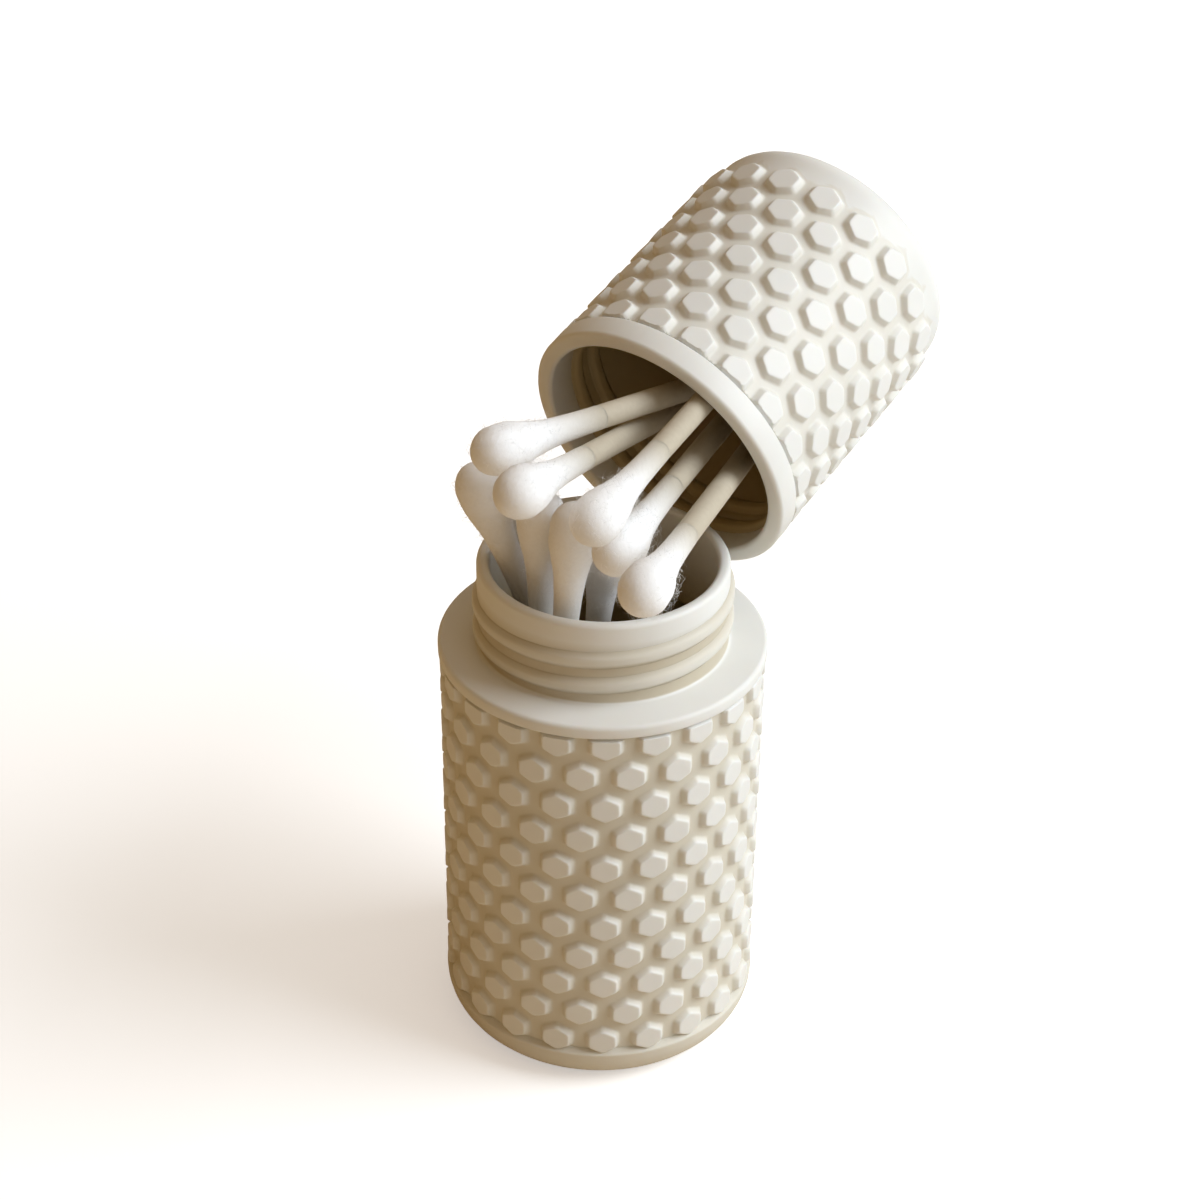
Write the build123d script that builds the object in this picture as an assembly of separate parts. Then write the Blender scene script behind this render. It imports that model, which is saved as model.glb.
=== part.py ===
from build123d import *
import os
from math import atan, cos, degrees, hypot, pi, radians, sin

# Screw-top cotton swab holder: a moulded jar and its cap, both wrapped in raised
# honeycomb studs. The cap is off and leans behind the open neck, as when swabs are
# poured out of it. The origin is the centre of the base, +Z runs up the jar.

# Jar
lip_diameter = 41.0
body_height = 57.0
jar_wall = 1.6
floor_thickness = 1.8
base_round = 5.5
base_band_height = 6.2
lip_height = 1.7
lip_chamfer = 0.5
lip_groove_height = 0.5
jar_stud_diameter = 40.6
shoulder_thickness = 1.8
inside_chamfer = 2.5

# Neck, with its coarse thread
neck_bore = 28.0
neck_wall = 1.55
neck_height = 11.0
rim_chamfer = 0.5
thread_height = 0.6
thread_root_width = 2.2
thread_crest_width = 0.8
thread_pitch = 3.6
thread_turns = 1.75
thread_sink = 0.2
thread_start = 1.55
thread_start_angle = 162

# Cap
cap_stud_diameter = 37.1
cap_length = 40.0
cap_end_thickness = 1.8
cap_end_round = 2.8
cap_mouth_band = 3.4
cap_groove_height = 0.5
cap_plain_end = 4.8
cap_rim_chamfer = 0.5
cap_inside_chamfer = 1.0
thread_clearance = 0.25
cap_thread_start = 3.2
cap_thread_start_angle = -45

# Honeycomb studs. They sink into the wall, and the plain bands stand just past their faces.
# A row is left out where less than stud_least of its height would show.
stud_spacing = 5.92
stud_row_spacing = 4.63
stud_root_width = 4.2
stud_face_width = 3.25
stud_corner_ratio = 1.05
stud_height = 0.75
stud_sink = 0.3
stud_start_angle = -88.5
stud_least = 1.5
band_stand = 0.05
jar_top_row_drop = 0.93

# How the cap leans behind the jar
cap_rest_gap = 0.3
cap_turn = 52.1
cap_tilt = 19.6
cap_mouth_x = 6.4
cap_mouth_y = 13.0

# Cotton swabs
swab_length = 73.5
stick_diameter = 2.9
tip_diameter = 6.1
tip_length = 21.0
tip_barrel_end = 7.0
tip_tail_thickness = 0.15
tip_grip = 16.0
stick_clearance = 0.02

# The nose of a tip, as (radius, height) shares of the tip's radius
tip_nose = [(0, 0), (0.42, 0), (0.8, 0.35), (1, 0.9)]

# How each swab lies in its holder: how far out its foot stands and in which direction,
# how high the foot stands off the closed end, and where the stick crosses the mouth.
# Distances are shares of the room there, directions are degrees.
jar_swabs = [(0.54, 18, 10.5, 0.90, -174), (0.56, -154, 5.0, 0.72, -146),
             (0.92, -130, 6.5, 0.90, -112), (0.94, 110, 1.0, 0.18, -88)]
cap_swabs = [(0.78, 60, 2.0, 0.74, -74), (1.00, 120, 13.0, 0.38, -82), (0.16, 112, 1.5, 0.98, -52),
             (0.98, 110, 1.0, 0.56, -24), (0.98, 86, 13.5, 0.80, -6)]

# How far a cut runs on past an open face
cut_past = 1.0

# Worked out from the sizes above
lip_radius = lip_diameter / 2
rim_z = body_height + neck_height
neck_bore_radius = neck_bore / 2
neck_radius = neck_bore_radius + neck_wall
thread_radius = neck_radius + thread_height
cap_bore_radius = thread_radius + thread_clearance
jar_root_radius = jar_stud_diameter / 2 - stud_height
cap_root_radius = cap_stud_diameter / 2 - stud_height
jar_inside_radius = jar_root_radius - jar_wall
stick_radius = stick_diameter / 2
tip_radius = tip_diameter / 2
stud_side_slope = (stud_root_width - stud_face_width) / 2 / stud_height
stud_reach = stud_root_width / 2 + stud_sink * stud_side_slope
stud_corner = stud_reach * stud_corner_ratio


def cap_plane():
    """The plane of the cap's mouth, with +Z up into the cap. The mouth's rim leans on the jar's lip."""
    turn, tilt = radians(cap_turn), radians(cap_tilt)
    lip_reach = lip_radius * cos(tilt) + body_height * sin(tilt) + cap_rest_gap
    mouth_reach = (cap_mouth_x * cos(turn) + cap_mouth_y * sin(turn)) * cos(tilt)
    mouth_z = (lip_reach - mouth_reach) / sin(tilt)
    return Plane(origin=(cap_mouth_x, cap_mouth_y, mouth_z), x_dir=(sin(turn), -cos(turn), 0),
                 z_dir=(cos(tilt) * cos(turn), cos(tilt) * sin(turn), sin(tilt)))


def turned(*corners):
    """A solid turned about Z from (radius, height) corners, each with its rounding if it has one."""
    outline = Polygon(*[corner[:2] for corner in corners], align=None)
    for radius, height, rounding in [corner for corner in corners if len(corner) == 3]:
        sharp = outline.vertices().sort_by_distance((radius, height, 0))[0]
        outline = fillet(sharp, rounding)
    return revolve(Plane.XZ * outline, Axis.Z)


def stud(below, above):
    """One hexagonal stud lying on the XY plane, cut off level below and above its centre."""
    side, corner = stud_reach, stud_corner
    hexagon = Polygon((0, -corner), (side, -corner / 2), (side, corner / 2),
                      (0, corner), (-side, corner / 2), (-side, -corner / 2), align=None)
    window = Pos(0, (above - below) / 2) * Rectangle(2 * (side + corner), above + below)
    return extrude(hexagon & window, amount=stud_height + stud_sink, taper=degrees(atan(stud_side_slope)))


def honeycomb(root_radius, top_row, low, high):
    """A many-sided wall with rings of studs, from the top row down, cut level at low and high."""
    count = round(2 * pi * root_radius / stud_spacing)
    rows = 1 + int((top_row + stud_corner - low - stud_least) / stud_row_spacing)
    wall = Rot(0, 0, stud_start_angle) * extrude(RegularPolygon(root_radius, 2 * count), amount=high - low)
    pieces = [Pos(0, 0, low) * wall]
    for row in range(rows):
        height = top_row - row * stud_row_spacing
        one = stud(min(stud_corner, height - low), min(stud_corner, high - height))
        seat = Plane(origin=(root_radius - stud_sink, 0, height), x_dir=(0, 1, 0), z_dir=(1, 0, 0))
        for place in range(count):
            angle = stud_start_angle + (place + row / 2) * 360 / count
            pieces.append(Rot(0, 0, angle) * (seat * one))
    return pieces


def thread(root_radius, outward, start, start_angle):
    """A coarse ridge wound round Z, standing out of a neck (outward 1) or into a bore (outward -1)."""
    path = Helix(pitch=thread_pitch, height=thread_turns * thread_pitch, radius=root_radius)
    root, crest = root_radius - outward * thread_sink, root_radius + outward * thread_height
    half_root, half_crest = thread_root_width / 2, thread_crest_width / 2
    section = Plane.XZ * Polygon((root, -half_root), (crest, -half_crest), (crest, half_crest),
                                 (root, half_root), align=None)
    return Pos(0, 0, start) * Rot(0, 0, start_angle) * sweep(section, path, is_frenet=True)


def jar():
    """The threaded jar: base band, honeycomb wall, lip, flat shoulder and neck, hollowed out."""
    band_radius = hypot(jar_root_radius + stud_height, stud_face_width / 2) + band_stand
    band_slope = stud_height * stud_side_slope
    core_radius = jar_root_radius - stud_sink
    lip_z = body_height - lip_height
    outside = turned(
        (0, 0), (band_radius, 0, base_round), (band_radius, base_band_height - band_slope),
        (core_radius, base_band_height), (core_radius, lip_z), (lip_radius, lip_z),
        (lip_radius, body_height - lip_chamfer), (lip_radius - lip_chamfer, body_height),
        (neck_radius, body_height), (neck_radius, rim_z - rim_chamfer),
        (neck_radius - rim_chamfer, rim_z), (0, rim_z))
    shoulder_z = body_height - shoulder_thickness
    slope_z = shoulder_z - (jar_inside_radius - neck_bore_radius) / 2
    cavity = turned(
        (0, floor_thickness), (jar_inside_radius - inside_chamfer, floor_thickness),
        (jar_inside_radius, floor_thickness + inside_chamfer), (jar_inside_radius, slope_z),
        (neck_bore_radius, shoulder_z), (neck_bore_radius, rim_z - rim_chamfer),
        (neck_bore_radius + rim_chamfer, rim_z), (neck_bore_radius + rim_chamfer, rim_z + cut_past),
        (0, rim_z + cut_past))
    comb_high = lip_z - lip_groove_height
    comb = honeycomb(jar_root_radius, comb_high - jar_top_row_drop, base_band_height - stud_height, comb_high)
    ridge = thread(neck_radius, 1, body_height + thread_start, thread_start_angle)
    return outside.fuse(*comb, ridge) - cavity


def cap():
    """The cap, mouth down at the origin: mouth band, honeycomb wall and rounded end, hollowed out."""
    band_radius = hypot(cap_root_radius + stud_height, stud_face_width / 2) + band_stand
    core_radius = cap_root_radius - stud_sink
    comb_low = cap_mouth_band + cap_groove_height
    comb_high = cap_length - (cap_plain_end + cap_end_round) / 2
    outside = turned(
        (0, 0), (band_radius - cap_rim_chamfer, 0), (band_radius, cap_rim_chamfer),
        (band_radius, cap_mouth_band), (core_radius, cap_mouth_band),
        (core_radius, comb_high), (cap_root_radius, comb_high),
        (cap_root_radius, cap_length, cap_end_round), (0, cap_length))
    end_z = cap_length - cap_end_thickness
    cavity = turned(
        (0, -cut_past), (cap_bore_radius + cap_rim_chamfer, -cut_past), (cap_bore_radius + cap_rim_chamfer, 0),
        (cap_bore_radius, cap_rim_chamfer), (cap_bore_radius, end_z - cap_inside_chamfer),
        (cap_bore_radius - cap_inside_chamfer, end_z), (0, end_z))
    top_row = cap_length - cap_plain_end - stud_corner
    comb = honeycomb(cap_root_radius, top_row, comb_low, comb_high)
    ridge = thread(cap_bore_radius, -1, cap_thread_start, cap_thread_start_angle)
    return (outside.fuse(*comb) - cavity).fuse(ridge)


def stick():
    """The paper stick of a swab along Z, as long as the swab less the cotton past its two ends."""
    buried = tip_length - tip_grip
    return Pos(0, 0, buried) * extrude(Circle(stick_radius), amount=swab_length - 2 * buried)


def tip():
    """A wound cotton tip along Z, its nose at the origin, with a blind hole that takes the stick."""
    hole_radius = stick_radius + stick_clearance
    buried = tip_length - tip_grip
    nose = [(radius * tip_radius, height * tip_radius) for radius, height in tip_nose]
    return turned(
        *nose, (tip_radius, tip_barrel_end), (hole_radius + tip_tail_thickness, tip_length), (hole_radius, tip_length),
        (hole_radius, buried), (0, buried))


def swab_plane(place, holder, foot_z, mouth_z, foot_room, mouth_room):
    """The plane of a swab's foot, with +Z along the stick towards the holder's mouth."""
    foot_share, foot_turn, foot_lift, mouth_share, mouth_turn = place
    foot_z = foot_z + foot_lift if mouth_z > foot_z else foot_z - foot_lift
    foot_angle, mouth_angle = radians(foot_turn), radians(mouth_turn)
    foot = Vector(cos(foot_angle), sin(foot_angle)) * foot_share * (foot_room - tip_radius)
    mouth = Vector(cos(mouth_angle), sin(mouth_angle)) * mouth_share * (mouth_room - stick_radius)
    foot, mouth = foot + Vector(0, 0, foot_z), mouth + Vector(0, 0, mouth_z)
    return Plane(origin=holder.from_local_coords(foot),
                 z_dir=holder.from_local_coords(mouth) - holder.from_local_coords(foot))


def swabs(name, places, holder, foot_z, mouth_z, foot_room, mouth_room):
    """Every swab of one holder as named pieces: a stick and a cotton tip on each end."""
    pieces = {}
    for number, place in enumerate(places, 1):
        lie = swab_plane(place, holder, foot_z, mouth_z, foot_room, mouth_room)
        far_end = Pos(0, 0, swab_length) * Rot(180, 0, 0)
        pieces[f"{name}_{number}_stick"] = lie * stick()
        pieces[f"{name}_{number}_inner_tip"] = lie * tip()
        pieces[f"{name}_{number}_outer_tip"] = lie * (far_end * tip())
    return pieces


def holder_parts():
    """Every piece of the holder by name, where it rests."""
    lean = cap_plane()
    parts = {"jar": jar(), "cap": lean * cap()}
    parts |= swabs("jar_swab", jar_swabs, Plane.XY, floor_thickness, rim_z, jar_inside_radius, neck_bore_radius)
    parts |= swabs("cap_swab", cap_swabs, lean, cap_length - cap_end_thickness, 0,
                   cap_bore_radius, cap_bore_radius)
    return parts


if __name__ == "__main__":
    os.makedirs("parts", exist_ok=True)
    for part_name, shape in holder_parts().items():
        export_step(shape, f"parts/{part_name}.step")
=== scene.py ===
from math import atan2, cos, hypot, pi, radians, sin, sqrt, tan

import bmesh
import bpy
import numpy as np
from mathutils import Matrix, Vector, noise

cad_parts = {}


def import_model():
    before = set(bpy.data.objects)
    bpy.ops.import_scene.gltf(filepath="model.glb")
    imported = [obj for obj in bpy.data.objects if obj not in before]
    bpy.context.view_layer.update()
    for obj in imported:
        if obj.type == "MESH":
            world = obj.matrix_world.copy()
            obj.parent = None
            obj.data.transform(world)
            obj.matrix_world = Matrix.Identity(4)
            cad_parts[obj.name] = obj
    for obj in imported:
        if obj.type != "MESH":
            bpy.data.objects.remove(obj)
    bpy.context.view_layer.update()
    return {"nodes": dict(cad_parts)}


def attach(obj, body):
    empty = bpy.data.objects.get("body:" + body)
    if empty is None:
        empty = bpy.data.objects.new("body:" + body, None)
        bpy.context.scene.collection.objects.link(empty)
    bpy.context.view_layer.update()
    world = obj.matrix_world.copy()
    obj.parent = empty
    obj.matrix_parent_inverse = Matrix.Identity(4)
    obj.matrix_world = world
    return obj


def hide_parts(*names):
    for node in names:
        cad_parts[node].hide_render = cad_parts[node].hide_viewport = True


# Looks of the screw-top cotton swab holder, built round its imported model.
# Shapes are worked out in millimetres and stored in metres, in the model's own frame.

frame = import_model()

MM = 0.001

# Jar
LIP_RADIUS = 20.5
BODY_HEIGHT = 57.0
JAR_ROOT = 19.55
JAR_INSIDE = 17.95
FLOOR_THICKNESS = 1.8
BASE_ROUND = 5.5
BASE_BAND_TOP = 6.2
LIP_HEIGHT = 1.7
GROOVE = 0.5
SHOULDER_THICKNESS = 1.8
NECK_RADIUS = 15.55
NECK_BORE = 14.0
RIM_Z = 68.0
JAR_ROWS = 11
JAR_TOP_ROW_DROP = 0.93

# Cap
CAP_ROOT = 17.8
CAP_BORE = 16.4
CAP_LENGTH = 40.0
CAP_END_THICKNESS = 1.8
CAP_END_ROUND = 2.8
CAP_BAND = 3.4
CAP_PLAIN_END = 4.8
CAP_ROWS = 7

# Soft edges that the solids don't have
GROOVE_EDGE = 0.12
BAND_LOWER_EDGE = 0.25
LIP_EDGE = 0.55
RIM_EDGE = 0.6
NECK_INNER_EDGE = 0.8
SLOPE_EDGE = 1.0
JAR_FLOOR_EDGE = 2.8
BASE_BAND_EDGE = 0.3
BASE_BAND_EDGE_ROOM = 0.2
CAP_FLOOR_EDGE = 1.2

# How finely the turned surfaces are drawn
EDGE_STEPS, CAP_END_STEPS, BASE_STEPS = 4, 8, 10
DISC_RINGS = (12.0, 6.0, 0)
FIRST_RISE = 0.1

# Thread. For its soft edges the ridge flares at its root and has shoulders beside a narrower
# crest. It fades in and out over an angle in degrees.
THREAD_HEIGHT = 0.6
THREAD_ROOT = 2.2
THREAD_CREST = 0.8
THREAD_PITCH = 3.6
THREAD_TURNS = 1.75
THREAD_FLARE = 0.15
THREAD_CREST_EDGE = 0.05
THREAD_SHOULDER = 0.2
THREAD_SINK = 0.35
THREAD_TUCK = 0.02
THREAD_FADE = 28
THREAD_STEPS_A_TURN = 120
JAR_THREAD_START = 1.55
JAR_THREAD_ANGLE = 162
CAP_THREAD_START = 3.2
CAP_THREAD_ANGLE = -45

# Honeycomb. The root and face halves are those of the solids, and place the bands and the cap's
# top row. The skin's studs spread a little further at the foot, by the jar's and the cap's own
# half. Their section goes from the ground round them to their face, as how far in from the root
# edge and how high. Their corners are cut shorter near the face.
STUD_ROW_SPACING = 4.63
STUD_SPACING = 5.92
STUD_ROOT_HALF = 2.1
STUD_FACE_HALF = 1.625
JAR_STUD_HALF = 2.15
CAP_STUD_HALF = 2.28
STUD_CORNER_RATIO = 1.05
STUD_HEIGHT = 0.75
STUD_SINK = 0.3
STUD_START_ANGLE = -88.5
STUD_SECTION = [(-0.34, 0.0), (-0.17, 0.012), (-0.04, 0.06), (0.055, 0.16), (0.345, 0.60),
                (0.405, 0.685), (0.48, 0.735), (0.58, STUD_HEIGHT), (0.85, STUD_HEIGHT)]
CORNER_CUT_LOW = 0.42
CORNER_CUT_HIGH = 0.3
CORNER_CUT_OVER = 0.6
BAND_STAND = 0.05
BAND_TUCK = 0.6
WELD = 0.002
CUT_ACCURACY = 1e-5
ON_CUT = 1e-3

# Painted shade, from 0 to 1, by which the plastic's colour darkens in its valleys and on its inside.
# The neck keeps it up to one height and has lost it at the next, and a thread's crest loses a share.
JAR_VALLEY_SHADE = 1.0
CAP_VALLEY_SHADE = 0.5
BASE_VALLEY_SHADE = 0.75
NECK_SHADE = 0.3
NECK_SHADED_TO = 62.8
NECK_LIT_FROM = 65.5
RIDGE_VALLEY_SHADE_LOST = 0.5
RIDGE_NECK_SHADE_LOST = 0.8
INSIDE_SHADE_FADE = 6.5
NEAR = 0.1

# How the cap leans
CAP_TURN = 52.1
CAP_TILT = 19.6
CAP_MOUTH = Vector((6.4, 13.0, 75.616208))

# Swabs. Each place is as in the CAD: how far out its foot stands and in which direction,
# how high off the closed end, and where the stick crosses the mouth.
SWAB_LENGTH = 73.5
STICK_RADIUS = 1.45
TIP_RADIUS = 3.05
TIP_LENGTH = 21.0
JAR_SWABS = [(0.54, 18, 10.5, 0.90, -174), (0.56, -154, 5.0, 0.72, -146),
             (0.92, -130, 6.5, 0.90, -112), (0.94, 110, 1.0, 0.18, -88)]
CAP_SWABS = [(0.78, 60, 2.0, 0.74, -74), (1.00, 120, 13.0, 0.38, -82), (0.16, 112, 1.5, 0.98, -52),
             (0.98, 110, 1.0, 0.56, -24), (0.98, 86, 13.5, 0.80, -6)]

# A cotton tip's outline: a round nose, a bulb, and a taper that thins out over the stick
BULB_RADIUS = TIP_RADIUS - 0.07
NOSE_LENGTH = 3.4
TAPER_FROM = 4.2
TAPER_HALFWAY = 0.27
TAPER_POWER = 2.3
TAPER_LEFT_OVER = 0.047
TAIL_THICKNESS = 0.015
TAIL_PAST_STICK = 0.15
TAIL_TUCK = 0.02
THIN_FROM = 10.0

# A cotton tip's mesh, crowded towards the nose, and its lumps, strands and fine grain: how far
# each stands out, how close they lie, and how far a seed shifts them from tip to tip
TIP_AROUND, TIP_ALONG = 56, 46
TIP_CROWDING = 1.35
TIP_FIRST_RING = 0.02
TAIL_DIP = 0.1
LUMP, STRAND, FINE, SHRINK = 0.09, 0.055, 0.04, 0.03
LUMP_SCALE, FINE_SCALE = 0.42, 3.1
STRANDS_AROUND, STRAND_TWIST, STRAND_CHANGE = 7.0, 0.28, 0.5
LUMP_SHIFT, STRAND_SHIFT, FINE_SHIFT = 7.3, 3.1, 5.7
ROUGH_OVER = 1.2
CAP_FIRST_SEED = 10

# Loose fibres: how many on a tip that is seen and on one that stands inside, where along the
# tip, and how each one lies. Lift and curl are shares of its length.
RANDOM_SEED = 7
OUTER_FIBRES, INNER_FIBRES = 260, 60
FIBRES_ALONG = (0.1, 12.0)
FIBRE_LENGTHS = (0.5, 1.7)
FIBRE_LIFTS = (0.12, 0.5)
FIBRE_CURLS = (-0.6, 0.6)
FIBRE_ARCH = 0.62
FIBRE_RISE = 4
FIBRE_STAND = 0.08
FIBRE_THICKNESS = 0.017
FIBRE_THINNING = 0.6
FIBRE_POINTS = 5
SLOPE_STEP = 0.05

# Colours
PLASTIC = [(0.785, 0.787, 0.755), (0.825, 0.827, 0.797)]
# Painted shade: the darker, warmer colour of the plastic's valleys
VALLEY_SHADE = (0.85, 0.80, 0.70)
# Painted shade: the darker, browner colour of the plastic's inside
INSIDE_SHADE = (0.53, 0.40, 0.19)
# The sticks' beige paper, darkened further as painted shade
PAPER_AND_SHADE = [(0.49, 0.43, 0.33), (0.53, 0.47, 0.365)]
COTTON = [(0.88, 0.885, 0.89), (0.925, 0.932, 0.938)]
# The cotton's colour where it thins over a stick, near the paper's, so partly painted shade
COTTON_TAIL_TONE = (0.50, 0.44, 0.335)
FLOOR_SEEN = (0.97, 0.97, 0.97)
FLOOR_BOUNCE = [(0.71, 0.54, 0.33), (0.84, 0.83, 0.80)]
SKY = [(0.245, 0.138, 0.038), (0.56, 0.54, 0.50)]
KEY_COLOUR = (0.93, 1.0, 1.08)
WHITE = (1, 1, 1)
NOISE_RANGE = (0.3, 0.7)

# Floor, sky and key light, in metres and watts. The floor's bounce changes along X and its glow
# with the distance from the object, and the sky's colour changes along its slope.
FLOOR_SIZE = 6
BOUNCE_RANGE = (-0.04, 0.09)
GLOW_RANGE = (0.15, 1.0)
GLOW_NEAR, GLOW_FAR = 0.42, 1.0
SKY_SLOPE = (0.93, 0.0, 0.36)
SKY_RANGE = (-0.2, 0.9)
KEY_PLACE, KEY_TARGET = (0.80, -0.09, 0.68), (0, 0, 0.06)
KEY_SIZE, KEY_POWER = 0.7, 9.0

# Camera, fitted to the photo: its place and lens in millimetres, its angles in radians and
# its reach in metres
CAMERA_PLACE = Vector((0, -263.46, 229.57))
CAMERA_PITCH, CAMERA_YAW, CAMERA_ROLL = 0.567, -0.0015, -0.0107
CAMERA_LENS, CAMERA_SENSOR = 76.09, 36
CAMERA_REACH = 10


def cap_matrix():
    """The cap's place: mouth at the origin, +Z up into the cap."""
    turn, tilt = radians(CAP_TURN), radians(CAP_TILT)
    z = Vector((cos(tilt) * cos(turn), cos(tilt) * sin(turn), sin(tilt)))
    x = Vector((sin(turn), -cos(turn), 0))
    y = z.cross(x)
    matrix = Matrix((x, y, z)).transposed().to_4x4()
    matrix.translation = CAP_MOUTH
    return matrix


def piece(name, bm, body, material, replaced=()):
    """A finished piece from a bmesh in millimetres: in metres, smooth, on its body."""
    bmesh.ops.recalc_face_normals(bm, faces=bm.faces)
    mesh = bpy.data.meshes.new(name)
    bm.to_mesh(mesh)
    bm.free()
    mesh.transform(Matrix.Scale(MM, 4))
    mesh.shade_smooth()
    obj = bpy.data.objects.new(name, mesh)
    bpy.context.scene.collection.objects.link(obj)
    mesh.materials.append(material)
    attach(obj, body)
    if replaced:
        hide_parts(*replaced)
    return obj


def clamped(share):
    """A share held between 0 and 1."""
    return min(1.0, max(0.0, share))


def joined(bm, first, second):
    """Faces between two rings of as many points each."""
    for i in range(len(first)):
        j = (i + 1) % len(first)
        bm.faces.new((first[i], first[j], second[j], second[i]))


def tube(bm, rings):
    """A closed tube through rings of as many points each."""
    for first, second in zip(rings, rings[1:]):
        joined(bm, first, second)
    bm.faces.new(rings[0])
    bm.faces.new(rings[-1])


def rounded(*corners, steps=EDGE_STEPS):
    """(radius, height[, rounding]) corners as a profile, each rounding drawn as a short arc."""
    points = []
    for i, corner in enumerate(corners):
        here = Vector(corner[:2])
        if len(corner) < 3:
            points.append(here)
            continue
        rounding = corner[2]
        to_last = (Vector(corners[i - 1][:2]) - here).normalized()
        to_next = (Vector(corners[i + 1][:2]) - here).normalized()
        half = to_last.angle(to_next) / 2
        back = rounding / tan(half)
        centre = here + (to_last + to_next).normalized() * rounding / sin(half)
        first, last = here + to_last * back - centre, here + to_next * back - centre
        sweep = first.angle_signed(last)
        for step in range(steps + 1):
            a = -sweep * step / steps
            turned = Vector((first.x * cos(a) - first.y * sin(a), first.x * sin(a) + first.y * cos(a)))
            points.append(centre + turned)
    return [(p.x, p.y) for p in points]


def disc(z):
    """The rest of a profile across a flat disc, in to the axis."""
    return [(radius, z) for radius in DISC_RINGS]


def six_corners(side, tall, short):
    """The corners of a hexagon that stands on a corner."""
    return [Vector(c) for c in ((0, tall), (side, short), (side, -short),
                                (0, -tall), (-side, -short), (-side, short))]


def hexagon(half, inset):
    """24 points round a stud's hexagon, moved inwards from its root edge, with short rounded corners.

    Each corner has three points, the middle one on a quadratic curve, and each side has its middle.
    """
    side, corner = half, half * STUD_CORNER_RATIO
    slant = Vector((corner / 2, side)).normalized()
    reach = slant.y * corner - inset
    side -= inset
    corners = six_corners(side, reach / slant.y, (reach - slant.x * side) / slant.y)
    cut = CORNER_CUT_LOW + (CORNER_CUT_HIGH - CORNER_CUT_LOW) * clamped(inset / CORNER_CUT_OVER)
    points = []
    for i, here in enumerate(corners):
        following = corners[(i + 1) % 6]
        to_last = (corners[i - 1] - here).normalized() * cut
        to_next = (following - here).normalized() * cut
        points += [here + to_last, here + (to_last + to_next) * 0.25, here + to_next,
                   (here + following) / 2]
    return points


def cell(half_width):
    """24 points round the cell that one stud has to itself, shared with its neighbours."""
    corners = six_corners(half_width, STUD_ROW_SPACING * 2 / 3, STUD_ROW_SPACING / 3)
    points = []
    for i, here in enumerate(corners):
        last, following = corners[i - 1], corners[(i + 1) % 6]
        points += [here.lerp(last, 0.25), here, here.lerp(following, 0.25), here.lerp(following, 0.5)]
    return points


def add_stud(bm, rings, root, angle, z, valley, blank):
    """One cell on a cylinder: curved where it meets the ground, and flat on the stud's face.

    Its ground gets the valley's painted shade. A blank cell has the same rings, with no rise and no
    painted shade.
    """
    valley_shade = bm.verts.layers.float["valley_shade"]
    loops = []
    for points, height in rings:
        rise = 0.0 if blank else height
        radius, flat = root + rise, rise / STUD_HEIGHT
        loop = []
        for p in points:
            a = angle + p.x / root
            x = (1 - flat) * radius * cos(a) + flat * (radius * cos(angle) - p.x * sin(angle))
            y = (1 - flat) * radius * sin(a) + flat * (radius * sin(angle) + p.x * cos(angle))
            vert = bm.verts.new((x, y, z + p.y))
            vert[valley_shade] = 0.0 if blank else valley * (1 - flat)
            loop.append(vert)
        loops.append(loop)
    for outer, inner in zip(loops, loops[1:]):
        joined(bm, outer, inner)
    bm.faces.new(loops[-1])


def honeycomb(root, half, valley, top_row, rows, low, high, blank_above):
    """The studded skin of a cylinder as a bmesh, cut level at low and high.

    Above the top row go as many rows of blank cells as blank_above says.
    """
    count = round(2 * pi * root / STUD_SPACING)
    rings = [(cell(pi * root / count), 0.0)]
    rings += [(hexagon(half, inset), height) for inset, height in STUD_SECTION]
    bm = bmesh.new()
    bm.verts.layers.float.new("valley_shade")
    bm.verts.layers.float.new("inside")
    for row in range(-blank_above, rows + 1):
        z = top_row - row * STUD_ROW_SPACING
        for place in range(count):
            angle = radians(STUD_START_ANGLE + (place + row / 2) * 360 / count)
            add_stud(bm, rings, root, angle, z, valley, row < 0)
    bmesh.ops.remove_doubles(bm, verts=bm.verts, dist=WELD)
    for height, up in ((low, -1), (high, 1)):
        geometry = list(bm.verts) + list(bm.edges) + list(bm.faces)
        bmesh.ops.bisect_plane(bm, geom=geometry, dist=CUT_ACCURACY, plane_co=(0, 0, height),
                               plane_no=(0, 0, up), clear_outer=True)
    return bm


def edge_loop(bm, height):
    """The open edge of the skin at a height, in order round the axis."""
    found = {v for e in bm.edges if e.is_boundary for v in e.verts if abs(v.co.z - height) < ON_CUT}
    return sorted(found, key=lambda v: atan2(v.co.y, v.co.x))


def jar_painted_shade(radius, z):
    """The jar's painted valley and inside shade: in the thread's valley, and on the inside, deeper down
    its neck.
    """
    if abs(radius - NECK_RADIUS) < NEAR and z < NECK_LIT_FROM:
        return JAR_VALLEY_SHADE, NECK_SHADE
    below = z < BODY_HEIGHT - SHOULDER_THICKNESS / 2
    within = radius < NECK_BORE + NEAR or (radius < JAR_INSIDE + NEAR and below)
    return 0.0, clamped((RIM_Z - z) / INSIDE_SHADE_FADE) if within else 0.0


def base_painted_shade(radius, z):
    """The painted shade of the band below the studs, close to that of the ground between them."""
    return BASE_VALLEY_SHADE, 0.0


def cap_painted_shade(radius, z):
    """The cap's painted valley and inside shade, the inside's deeper further up from its mouth."""
    within = radius < CAP_BORE + NEAR and z < CAP_LENGTH - CAP_END_THICKNESS + NEAR
    return 0.0, clamped(z / INSIDE_SHADE_FADE) if within else 0.0


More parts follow.
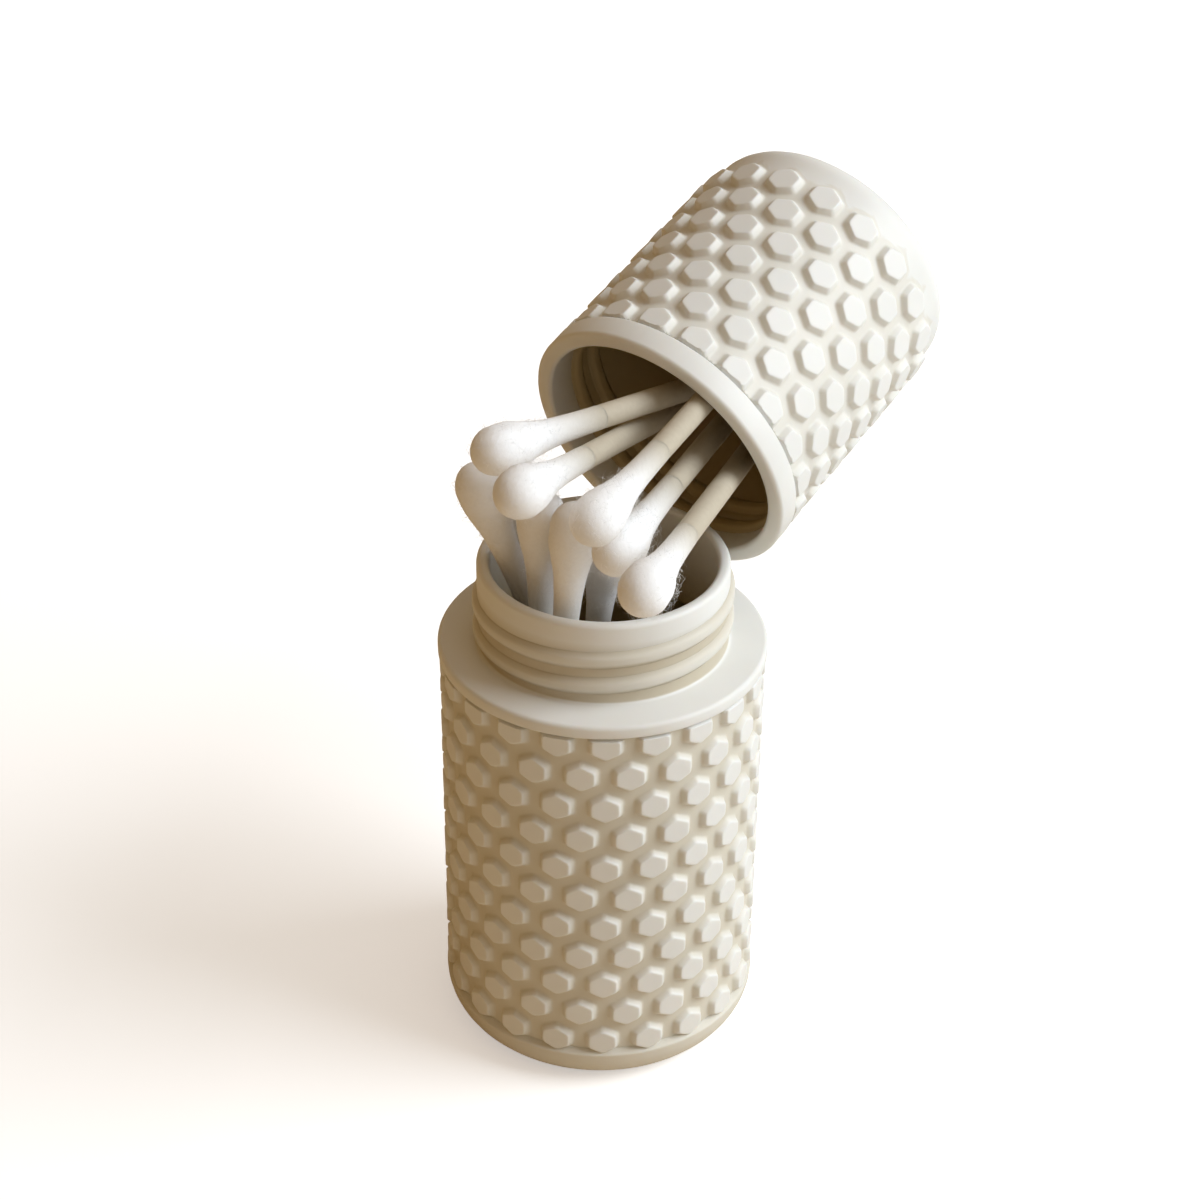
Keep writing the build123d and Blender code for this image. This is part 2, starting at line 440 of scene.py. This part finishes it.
def turn_on(bm, loop, profile, tones):
    """Carries a loop on along a (radius, height) profile to the axis, as one turned surface."""
    valley_shade, inside = bm.verts.layers.float["valley_shade"], bm.verts.layers.float["inside"]
    angles = [atan2(v.co.y, v.co.x) for v in loop]
    last = loop
    for radius, z in profile:
        if radius == 0:
            centre = bm.verts.new((0, 0, z))
            centre[valley_shade], centre[inside] = tones(radius, z)
            for i in range(len(last)):
                bm.faces.new((last[i], last[(i + 1) % len(last)], centre))
            return
        ring = [bm.verts.new((radius * cos(a), radius * sin(a), z)) for a in angles]
        for vert in ring:
            vert[valley_shade], vert[inside] = tones(radius, z)
        joined(bm, last, ring)
        last = ring


def thread(bm, root, outward, start, start_angle):
    """A coarse thread's ridge with soft edges, fading in and out at its ends, sunk into its wall."""
    half_root, half_crest = THREAD_ROOT / 2 + THREAD_FLARE, THREAD_CREST / 2 - THREAD_CREST_EDGE
    side = [half_crest, half_crest + THREAD_SHOULDER, half_root * 0.6, half_root * 0.8, half_root]
    across = [-offset for offset in reversed(side)] + [0.0] + side
    turns = THREAD_TURNS * 2 * pi
    steps = int(THREAD_TURNS * THREAD_STEPS_A_TURN)
    valley_shade, inside = bm.verts.layers.float["valley_shade"], bm.verts.layers.float["inside"]
    rings = []
    for step in range(steps + 1):
        share = step / steps
        angle = radians(start_angle) + share * turns
        z = start + share * THREAD_TURNS * THREAD_PITCH
        fade = min(1.0, min(share, 1 - share) * turns / radians(THREAD_FADE))
        fade = sqrt(max(0.0, 1 - (1 - fade) ** 2))
        ring = []
        for offset in across:
            t = clamped((half_root - abs(offset)) / (half_root - half_crest))
            rise = THREAD_HEIGHT * (t * t * (3 - 2 * t)) * fade - THREAD_TUCK * (1 - t)
            radius = root + outward * rise
            vert = bm.verts.new((radius * cos(angle), radius * sin(angle), z + offset))
            # Painted shade: the neck's thread keeps the neck's shade at its root and loses a share
            # towards its crest; the cap's inner thread takes the whole inside shade
            vert[valley_shade] = JAR_VALLEY_SHADE * (1 - RIDGE_VALLEY_SHADE_LOST * t) if outward > 0 else 0.0
            vert[inside] = NECK_SHADE * (1 - RIDGE_NECK_SHADE_LOST * t) if outward > 0 else 1.0
            ring.append(vert)
        sunk = root - outward * THREAD_SINK
        for offset in (half_root, -half_root):
            ring.append(bm.verts.new((sunk * cos(angle), sunk * sin(angle), z + offset)))
        rings.append(ring)
    tube(bm, rings)


def band_radius(root):
    """A plain band's radius, just past the studs' faces."""
    return hypot(root + STUD_HEIGHT, STUD_FACE_HALF) + BAND_STAND


def jar_mesh():
    """The whole jar as one skin: honeycomb, lip, shoulder, neck and inside, and base band and base."""
    lip_z = BODY_HEIGHT - LIP_HEIGHT
    high = lip_z - GROOVE
    low = BASE_BAND_TOP - STUD_HEIGHT
    core = JAR_ROOT - STUD_SINK
    tuck = core - BAND_TUCK
    band = band_radius(JAR_ROOT)
    bm = honeycomb(JAR_ROOT, JAR_STUD_HALF, JAR_VALLEY_SHADE, high - JAR_TOP_ROW_DROP, JAR_ROWS, low, high, 0)
    shoulder_in = BODY_HEIGHT - SHOULDER_THICKNESS
    slope = shoulder_in - (JAR_INSIDE - NECK_BORE) / 2
    turn_on(bm, edge_loop(bm, high), rounded(
        (core, high, GROOVE_EDGE), (core, lip_z, GROOVE_EDGE), (LIP_RADIUS, lip_z, BAND_LOWER_EDGE),
        (LIP_RADIUS, BODY_HEIGHT, LIP_EDGE), (NECK_RADIUS, BODY_HEIGHT, LIP_EDGE),
        # The neck's painted shade ends between these two rings
        (NECK_RADIUS, NECK_SHADED_TO), (NECK_RADIUS, NECK_LIT_FROM),
        (NECK_RADIUS, RIM_Z, RIM_EDGE), (NECK_BORE, RIM_Z, RIM_EDGE),
        (NECK_BORE, shoulder_in, NECK_INNER_EDGE), (JAR_INSIDE, slope, SLOPE_EDGE),
        (JAR_INSIDE, FLOOR_THICKNESS, JAR_FLOOR_EDGE), *disc(FLOOR_THICKNESS)), jar_painted_shade)
    turn_on(bm, edge_loop(bm, low), rounded(
        (tuck, low), (tuck, BASE_BAND_TOP), (core, BASE_BAND_TOP), (band, BASE_ROUND, BASE_BAND_EDGE),
        (band, 0, BASE_ROUND - BASE_BAND_EDGE_ROOM), *disc(0), steps=BASE_STEPS), base_painted_shade)
    thread(bm, NECK_RADIUS, 1, BODY_HEIGHT + JAR_THREAD_START, JAR_THREAD_ANGLE)
    return bm


def cap_mesh():
    """The whole cap as one skin, mouth down at the origin."""
    low = CAP_BAND + GROOVE
    high = CAP_LENGTH - (CAP_PLAIN_END + CAP_END_ROUND) / 2
    core = CAP_ROOT - STUD_SINK
    band = band_radius(CAP_ROOT)
    side_slope = (STUD_ROOT_HALF - STUD_FACE_HALF) / STUD_HEIGHT
    corner = (STUD_ROOT_HALF + STUD_SINK * side_slope) * STUD_CORNER_RATIO
    top_row = CAP_LENGTH - CAP_PLAIN_END - corner
    bm = honeycomb(CAP_ROOT, CAP_STUD_HALF, CAP_VALLEY_SHADE, top_row, CAP_ROWS, low, high, 1)
    end_z = CAP_LENGTH - CAP_END_THICKNESS
    turn_on(bm, edge_loop(bm, high), rounded(
        (CAP_ROOT, high + FIRST_RISE), (CAP_ROOT, CAP_LENGTH, CAP_END_ROUND),
        *disc(CAP_LENGTH), steps=CAP_END_STEPS), cap_painted_shade)
    turn_on(bm, edge_loop(bm, low), rounded(
        (core, low, GROOVE_EDGE), (core, CAP_BAND, GROOVE_EDGE), (band, CAP_BAND, BAND_LOWER_EDGE),
        (band, 0, RIM_EDGE), (CAP_BORE, 0, RIM_EDGE), (CAP_BORE, INSIDE_SHADE_FADE),
        (CAP_BORE, end_z, CAP_FLOOR_EDGE), *disc(end_z)), cap_painted_shade)
    thread(bm, CAP_BORE, -1, CAP_THREAD_START, CAP_THREAD_ANGLE)
    return bm


def swab_line(place, holder, foot_z, mouth_z, foot_room, mouth_room):
    """A swab's foot and its direction towards the holder's mouth, as in the CAD."""
    foot_share, foot_turn, foot_lift, mouth_share, mouth_turn = place
    foot_z = foot_z + foot_lift if mouth_z > foot_z else foot_z - foot_lift
    foot_angle, mouth_angle = radians(foot_turn), radians(mouth_turn)
    foot = Vector((cos(foot_angle), sin(foot_angle), 0)) * foot_share * (foot_room - TIP_RADIUS)
    mouth = Vector((cos(mouth_angle), sin(mouth_angle), 0)) * mouth_share * (mouth_room - STICK_RADIUS)
    foot, mouth = holder @ (foot + Vector((0, 0, foot_z))), holder @ (mouth + Vector((0, 0, mouth_z)))
    return foot, (mouth - foot).normalized()


def tip_radius(z):
    """A wound tip's radius at a distance from the end of its nose: a bulb, then a long thin tail."""
    radius = BULB_RADIUS
    if z < NOSE_LENGTH:
        radius *= sqrt(max(0.0, 1 - (1 - z / NOSE_LENGTH) ** 2))
    t = clamped((z - TAPER_FROM) / (TIP_LENGTH - TAPER_FROM))
    share = 1 / (1 + (t / TAPER_HALFWAY) ** TAPER_POWER) - TAPER_LEFT_OVER * t
    return radius * share + (STICK_RADIUS + TAIL_THICKNESS) * (1 - share)


def tip_matrix(nose, inwards):
    """The place of a tip: its nose at the origin, +Z along the stick."""
    x = inwards.orthogonal().normalized()
    matrix = Matrix((x, inwards.cross(x), inwards)).transposed().to_4x4()
    matrix.translation = nose
    return matrix


def cotton_tip(name, nose, inwards, body, material, seed):
    """A wound cotton tip with soft lumps and strands round it."""
    bm = bmesh.new()
    thin = bm.verts.layers.float.new("thin")
    rings = []
    for i in range(TIP_ALONG):
        share = i / (TIP_ALONG - 1)
        z = TIP_FIRST_RING + (TIP_LENGTH + TAIL_PAST_STICK) * share ** TIP_CROWDING
        base = STICK_RADIUS - TAIL_TUCK if i == TIP_ALONG - 1 else tip_radius(z)
        soft = clamped((base - STICK_RADIUS) / ROUGH_OVER)
        ring = []
        for k in range(TIP_AROUND):
            a = 2 * pi * k / TIP_AROUND
            spot = Vector((cos(a) * base, sin(a) * base, z))
            lump = noise.noise(spot * LUMP_SCALE + Vector((seed * LUMP_SHIFT, 0, 0)))
            twist = a + z * STRAND_TWIST
            strand = noise.noise(Vector((cos(twist) * STRANDS_AROUND, sin(twist) * STRANDS_AROUND,
                                         z * STRAND_CHANGE + seed * STRAND_SHIFT)))
            fine = noise.noise(spot * FINE_SCALE + Vector((0, seed * FINE_SHIFT, 0)))
            radius = base + (LUMP * lump + STRAND * strand + FINE * fine - SHRINK) * soft
            vert = bm.verts.new((cos(a) * radius, sin(a) * radius, z))
            vert[thin] = clamped((z - THIN_FROM) / (TIP_LENGTH - THIN_FROM))
            ring.append(vert)
        rings.append(ring)
    first = bm.verts.new((0, 0, 0))
    last = bm.verts.new((0, 0, rings[-1][0].co.z - TAIL_DIP))
    for k in range(TIP_AROUND):
        j = (k + 1) % TIP_AROUND
        bm.faces.new((first, rings[0][j], rings[0][k]))
        bm.faces.new((last, rings[-1][k], rings[-1][j]))
        for a, b in zip(rings, rings[1:]):
            bm.faces.new((a[k], a[j], b[j], b[k]))
    bm.transform(tip_matrix(nose, inwards))
    tip = piece(name.replace("tip", "cotton"), bm, body, material, (name,))


def fuzz(bm, nose, inwards, number, rng):
    """Loose fibres that stand a little off a cotton tip."""
    matrix = tip_matrix(nose, inwards)
    for _ in range(number):
        z = rng.uniform(*FIBRES_ALONG)
        a = rng.uniform(0, 2 * pi)
        base = tip_radius(z)
        lower = tip_radius(max(TIP_FIRST_RING, z - SLOPE_STEP))
        slope = (tip_radius(z + SLOPE_STEP) - lower) / (2 * SLOPE_STEP)
        normal = Vector((cos(a), sin(a), -slope)).normalized()
        side = normal.orthogonal().normalized()
        side.rotate(Matrix.Rotation(rng.uniform(0, 2 * pi), 3, normal))
        length = rng.uniform(*FIBRE_LENGTHS)
        lift = rng.uniform(*FIBRE_LIFTS)
        curl = rng.uniform(*FIBRE_CURLS)
        across = normal.cross(side)
        start = Vector((cos(a) * base, sin(a) * base, z)) - normal * FIBRE_STAND
        rings = []
        for i in range(FIBRE_POINTS):
            t = i / (FIBRE_POINTS - 1)
            stand = FIBRE_STAND + length * lift * sin(t * pi * FIBRE_ARCH)
            at = start + side * length * t + normal * stand * min(1, t * FIBRE_RISE)
            at += across * length * curl * t * t
            thick = FIBRE_THICKNESS * (1 - FIBRE_THINNING * t)
            rings.append([bm.verts.new(matrix @ (at + (normal * cos(q) + across * sin(q)) * thick))
                          for q in (0, 2 * pi / 3, 4 * pi / 3)])
        tube(bm, rings)


def new_material(name):
    """A material with a Principled shader: the material, its nodes, its links and the shader."""
    material = bpy.data.materials.new(name)
    material.use_nodes = True
    nodes = material.node_tree.nodes
    return material, nodes, material.node_tree.links, nodes["Principled BSDF"]


def set_values(node, values):
    """Uniform values set on a node's own sockets."""
    for key, value in values.items():
        node.inputs[key].default_value = value


def noise_node(nodes, links, vector, scale, detail, rough=0.5):
    """A noise texture read at a vector."""
    texture = nodes.new("ShaderNodeTexNoise")
    set_values(texture, {"Scale": scale, "Detail": detail, "Roughness": rough})
    links.new(vector, texture.inputs["Vector"])
    return texture.outputs["Fac"]


def ranged(nodes, links, value, low, high, out_low, out_high):
    """A value carried from one range to another."""
    node = nodes.new("ShaderNodeMapRange")
    set_values(node, {"From Min": low, "From Max": high, "To Min": out_low, "To Max": out_high})
    links.new(value, node.inputs["Value"])
    return node.outputs["Result"]


def blend_colours(nodes, links, factor, colours):
    """Two colours mixed by a factor."""
    node = nodes.new("ShaderNodeMix")
    node.data_type = "RGBA"
    set_values(node, {"A": (*colours[0], 1), "B": (*colours[1], 1)})
    links.new(factor, node.inputs["Factor"])
    return node.outputs["Result"]


def changed(nodes, links, colour, factor, second, blend_type="MIX"):
    """A colour changed towards a second one by a factor."""
    node = nodes.new("ShaderNodeMix")
    node.data_type = "RGBA"
    node.blend_type = blend_type
    set_values(node, {"B": (*second, 1)})
    links.new(factor, node.inputs["Factor"])
    links.new(colour, node.inputs["A"])
    return node.outputs["Result"]


def toned(nodes, links, colour, attribute, tone):
    """A colour multiplied by a tone as far as a vertex attribute says."""
    amount = nodes.new("ShaderNodeAttribute")
    amount.attribute_name = attribute
    return changed(nodes, links, colour, amount.outputs["Fac"], tone, "MULTIPLY")


def calculated(nodes, links, operation, first, second):
    """Two values added or multiplied."""
    node = nodes.new("ShaderNodeMath")
    node.operation = operation
    links.new(first, node.inputs[0])
    links.new(second, node.inputs[1])
    return node.outputs["Value"]


def bump(nodes, links, shader, height, strength, distance):
    """A fine bump on a shader's surface."""
    node = nodes.new("ShaderNodeBump")
    set_values(node, {"Strength": strength, "Distance": distance})
    links.new(height, node.inputs["Height"])
    links.new(node.outputs["Normal"], shader.inputs["Normal"])


def plastic_material():
    """Cream moulded plastic: matte and slightly waxy, with a fine moulded grain, soft clouding, and
    painted shade in its valleys and inside.
    """
    material, nodes, links, shader = new_material("cream_plastic")
    place = nodes.new("ShaderNodeTexCoord").outputs["Object"]
    cloud = noise_node(nodes, links, place, scale=90, detail=3)
    grain = noise_node(nodes, links, place, scale=2600, detail=2)
    tone = blend_colours(nodes, links, ranged(nodes, links, cloud, *NOISE_RANGE, 0, 1), PLASTIC)
    # Painted shade: darker in the valleys between the studs, round the neck's thread and on the base
    # band
    tone = toned(nodes, links, tone, "valley_shade", VALLEY_SHADE)
    # Painted shade: darker and browner on the inside, deeper down from the mouths
    tone = toned(nodes, links, tone, "inside", INSIDE_SHADE)
    links.new(tone, shader.inputs["Base Color"])
    links.new(ranged(nodes, links, cloud, 0.25, 0.75, 0.40, 0.52), shader.inputs["Roughness"])
    set_values(shader, {"Specular IOR Level": 0.42, "Subsurface Weight": 0.12,
                        "Subsurface Radius": (1.0, 0.72, 0.45), "Subsurface Scale": 0.0012})
    bump(nodes, links, shader, grain, strength=0.12, distance=0.00003)
    return material


def paper_material():
    """Rolled beige paper of the sticks, its colour darkened further by painted shade."""
    material, nodes, links, shader = new_material("stick_paper")
    place = nodes.new("ShaderNodeTexCoord").outputs["Object"]
    fibre = noise_node(nodes, links, place, scale=1500, detail=4)
    tone = blend_colours(nodes, links, ranged(nodes, links, fibre, *NOISE_RANGE, 0, 1), PAPER_AND_SHADE)
    links.new(tone, shader.inputs["Base Color"])
    links.new(ranged(nodes, links, fibre, *NOISE_RANGE, 0.62, 0.78), shader.inputs["Roughness"])
    bump(nodes, links, shader, fibre, strength=0.08, distance=0.00004)
    return material


def cotton_material():
    """Wound bleached cotton: white, soft, with a felt of fine fibres, thinning out over the stick."""
    material, nodes, links, shader = new_material("cotton")
    place = nodes.new("ShaderNodeTexCoord").outputs["Object"]
    stretch = nodes.new("ShaderNodeMapping")
    set_values(stretch, {"Rotation": (0.5, 0.4, 0.3), "Scale": (1.0, 0.28, 1.0)})
    links.new(place, stretch.inputs["Vector"])
    felt = noise_node(nodes, links, stretch.outputs["Vector"], scale=2400, detail=5, rough=0.65)
    tuft = noise_node(nodes, links, place, scale=520, detail=3)
    white = blend_colours(nodes, links, ranged(nodes, links, felt, *NOISE_RANGE, 0, 1), COTTON)
    # As the cotton thins it takes on the sticks' colour, with its painted shade
    links.new(toned(nodes, links, white, "thin", COTTON_TAIL_TONE), shader.inputs["Base Color"])
    set_values(shader, {"Roughness": 0.9, "Specular IOR Level": 0.15, "Sheen Weight": 0.2,
                        "Sheen Roughness": 0.6, "Subsurface Weight": 0.8,
                        "Subsurface Radius": (1.0, 0.97, 0.93), "Subsurface Scale": 0.0022})
    both = calculated(nodes, links, "ADD", felt, tuft)
    bump(nodes, links, shader, both, strength=0.55, distance=0.00012)
    return material


def floor_material():
    """A white floor that keeps the soft shadow, whiter far off.

    To what stands on it, it gives back a warm light on the left and a pale one on the right.
    """
    material, nodes, links, shader = new_material("floor")
    seen = nodes.new("ShaderNodeLightPath").outputs["Is Camera Ray"]
    place = nodes.new("ShaderNodeTexCoord").outputs["Object"]
    along = nodes.new("ShaderNodeSeparateXYZ")
    links.new(place, along.inputs["Vector"])
    side = ranged(nodes, links, along.outputs["X"], *BOUNCE_RANGE, 0, 1)
    bounce = blend_colours(nodes, links, side, FLOOR_BOUNCE)
    links.new(changed(nodes, links, bounce, seen, FLOOR_SEEN), shader.inputs["Base Color"])
    set_values(shader, {"Roughness": 1.0, "Specular IOR Level": 0.0, "Emission Color": (*WHITE, 1)})
    away = nodes.new("ShaderNodeVectorMath")
    away.operation = "LENGTH"
    links.new(place, away.inputs[0])
    glow = ranged(nodes, links, away.outputs["Value"], *GLOW_RANGE, GLOW_NEAR, GLOW_FAR)
    links.new(calculated(nodes, links, "MULTIPLY", glow, seen), shader.inputs["Emission Strength"])
    return material


def camera():
    """The photo's camera: its place, its tilt and its field of view."""
    data = bpy.data.cameras.new("camera")
    data.sensor_width = CAMERA_SENSOR
    data.lens = CAMERA_LENS
    data.clip_end = CAMERA_REACH
    obj = bpy.data.objects.new("camera", data)
    bpy.context.scene.collection.objects.link(obj)
    pitch, yaw, roll = CAMERA_PITCH, CAMERA_YAW, CAMERA_ROLL
    ahead = Vector((sin(yaw) * cos(pitch), cos(yaw) * cos(pitch), -sin(pitch)))
    right = Vector((cos(yaw), -sin(yaw), 0))
    down = ahead.cross(right)
    right, down = right * cos(roll) + down * sin(roll), down * cos(roll) - right * sin(roll)
    matrix = Matrix((right, -down, -ahead)).transposed().to_4x4()
    matrix.translation = CAMERA_PLACE * MM
    obj.matrix_world = matrix
    bpy.context.scene.camera = obj


def area_light(name, place, target, size, power, colour):
    """A square soft light that faces a target; lengths in metres."""
    data = bpy.data.lights.new(name, "AREA")
    data.size = size
    data.energy = power
    data.color = colour
    obj = bpy.data.objects.new(name, data)
    bpy.context.scene.collection.objects.link(obj)
    obj.location = place
    obj.rotation_euler = (Vector(target) - Vector(place)).to_track_quat("-Z", "Y").to_euler()


def world():
    """White to the camera; to the object warm and dim from the left, pale from the right and above."""
    scene_world = bpy.data.worlds.new("world")
    bpy.context.scene.world = scene_world
    scene_world.use_nodes = True
    nodes, links = scene_world.node_tree.nodes, scene_world.node_tree.links
    background = nodes["Background"]
    slope = nodes.new("ShaderNodeVectorMath")
    slope.operation = "DOT_PRODUCT"
    slope.inputs[1].default_value = SKY_SLOPE
    links.new(nodes.new("ShaderNodeTexCoord").outputs["Generated"], slope.inputs[0])
    up = ranged(nodes, links, slope.outputs["Value"], *SKY_RANGE, 0, 1)
    light = blend_colours(nodes, links, up, SKY)
    seen = nodes.new("ShaderNodeLightPath").outputs["Is Camera Ray"]
    links.new(changed(nodes, links, light, seen, WHITE), background.inputs["Color"])
    background.inputs["Strength"].default_value = 1.0


plastic = plastic_material()
paper = paper_material()
cotton = cotton_material()

piece("jar_moulding", jar_mesh(), "jar_body", plastic, ("jar",))
lean = cap_matrix()
cap_bm = cap_mesh()
cap_bm.transform(lean)
piece("cap_moulding", cap_bm, "cap_body", plastic, ("cap",))

random_source = np.random.default_rng(RANDOM_SEED)
cap_floor = CAP_LENGTH - CAP_END_THICKNESS
groups = [("jar", 0, JAR_SWABS, Matrix.Identity(4), FLOOR_THICKNESS, RIM_Z, JAR_INSIDE, NECK_BORE),
          ("cap", CAP_FIRST_SEED, CAP_SWABS, lean, cap_floor, 0.0, CAP_BORE, CAP_BORE)]
for holder, first_seed, places, matrix, foot_z, mouth_z, foot_room, mouth_room in groups:
    body = f"{holder}_body"
    fuzz_bm = bmesh.new()
    for number, place in enumerate(places, 1):
        foot, along = swab_line(place, matrix, foot_z, mouth_z, foot_room, mouth_room)
        far = foot + along * SWAB_LENGTH
        swab = f"{holder}_swab_{number}"
        seed = number + first_seed
        cotton_tip(f"{swab}_inner_tip", foot, along, body, cotton, seed)
        cotton_tip(f"{swab}_outer_tip", far, -along, body, cotton, seed + 0.5)
        fuzz(fuzz_bm, far, -along, OUTER_FIBRES, random_source)
        fuzz(fuzz_bm, foot, along, INNER_FIBRES, random_source)
        stick = frame["nodes"][f"{swab}_stick"]
        stick.data.materials.clear()
        stick.data.materials.append(paper)
    piece(f"{holder}_swabs_fuzz", fuzz_bm, body, cotton)

bpy.ops.mesh.primitive_plane_add(size=FLOOR_SIZE, location=(0, 0, 0))
floor = bpy.context.object
floor.name = "floor"
floor.data.materials.append(floor_material())

camera()
world()
area_light("key", KEY_PLACE, KEY_TARGET, KEY_SIZE, KEY_POWER, KEY_COLOUR)
bpy.context.scene.view_settings.view_transform = "Standard"
